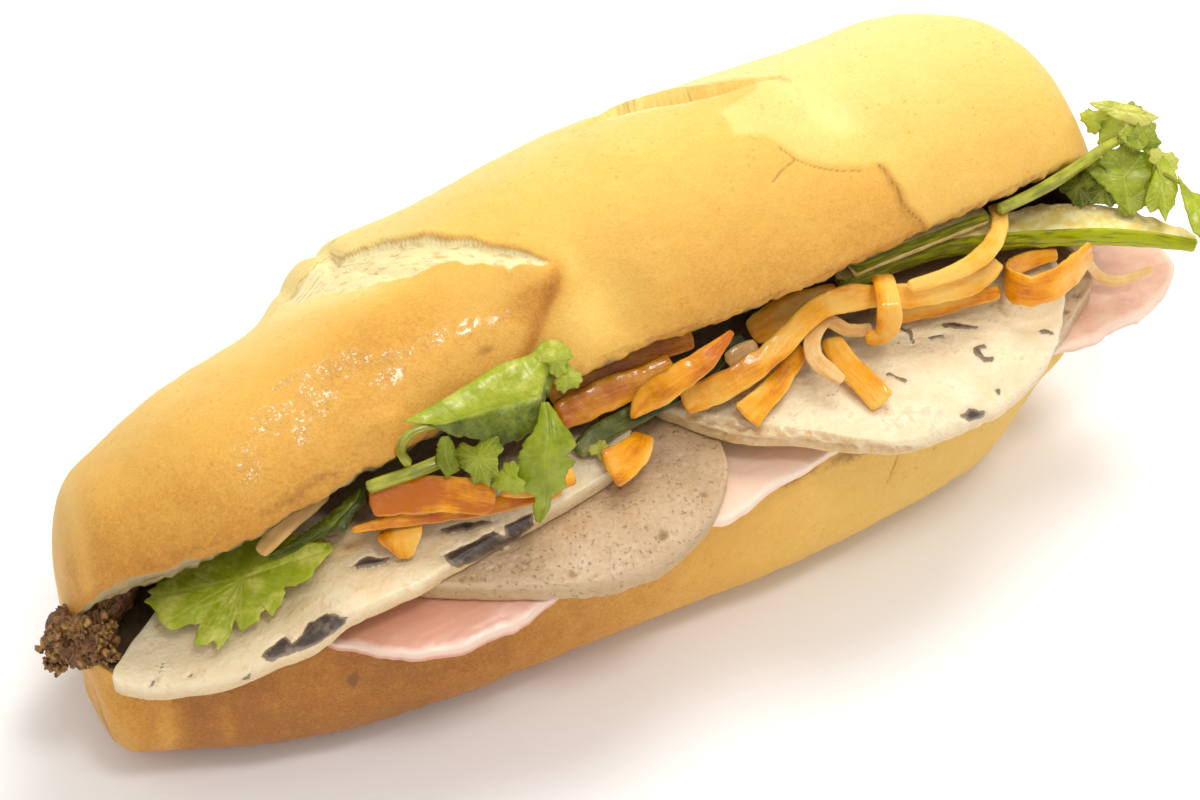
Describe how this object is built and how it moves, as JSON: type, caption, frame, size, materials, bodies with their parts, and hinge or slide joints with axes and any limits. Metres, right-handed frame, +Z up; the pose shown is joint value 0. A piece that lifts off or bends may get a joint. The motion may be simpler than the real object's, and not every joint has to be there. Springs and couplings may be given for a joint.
{
  "type": "banh mi sandwich",
  "caption": "Split bread roll hinged along its back, filled with ham, pork roll, head cheese, pate, carrot, daikon, cucumber and coriander.",
  "frame": {"origin": "middle of the whole sandwich's box, at the height of the flat underside it rests on", "axes": "+X along the roll, towards the end where the cucumber and leaves stick out; the open side with the fillings faces -Y; +Z up"},
  "size_m": [0.2208, 0.0838, 0.0857],
  "materials": {
    "crust": "thin crisp crust, satin, with pale open crumb where it is scored",
    "ham": "moist cooked ham, soft gloss",
    "pork_roll": "steamed pork roll, finely pitted, matt",
    "head_cheese": "set pork loaf with dark wood-ear strips, moist",
    "pate": "coarse brown pate, crumbly and dull",
    "cucumber": "green skin over pale wet flesh with seeds",
    "carrot": "pickled carrot, wet and slightly see-through",
    "daikon": "pickled daikon, wet and slightly see-through",
    "coriander_stem": "fresh green stalk",
    "coriander_leaf": "fresh green leaf with veins, satin"
  },
  "bodies": {
    "root": {"bread": "crust", "carrot_1": "carrot", "carrot_10": "carrot", "carrot_11": "carrot", "carrot_12": "carrot", "carrot_13": "carrot", "carrot_14": "carrot", "carrot_15": "carrot", "carrot_16": "carrot", "carrot_2": "carrot", "carrot_3": "carrot", "carrot_4": "carrot", "carrot_5": "carrot", "carrot_6": "carrot", "carrot_7": "carrot", "carrot_8": "carrot", "carrot_9": "carrot", "cucumber_back": "cucumber", "cucumber_front": "cucumber", "cucumber_left": "cucumber", "daikon_1": "daikon", "daikon_2": "daikon", "daikon_3": "daikon", "daikon_4": "daikon", "ham_left": "ham", "ham_middle": "ham", "ham_right": "ham", "head_cheese_left": "head_cheese", "head_cheese_right": "head_cheese", "leaf_dark": "coriander_leaf", "leaf_hanging": "coriander_leaf", "leaf_left": "coriander_leaf", "leaf_lobe": "coriander_leaf", "leaf_middle": "coriander_leaf", "leaf_right_back": "coriander_leaf", "leaf_right_fold": "coriander_leaf", "leaf_right_pale": "coriander_leaf", "leaf_right_tip": "coriander_leaf", "leaf_right_top": "coriander_leaf", "leaf_right_wide": "coriander_leaf", "pate": "pate", "pork_roll_left": "pork_roll", "pork_roll_right": "pork_roll", "stem_left": "coriander_stem", "stem_middle": "coriander_stem", "stem_right": "coriander_stem"}
  },
  "joints": []
}
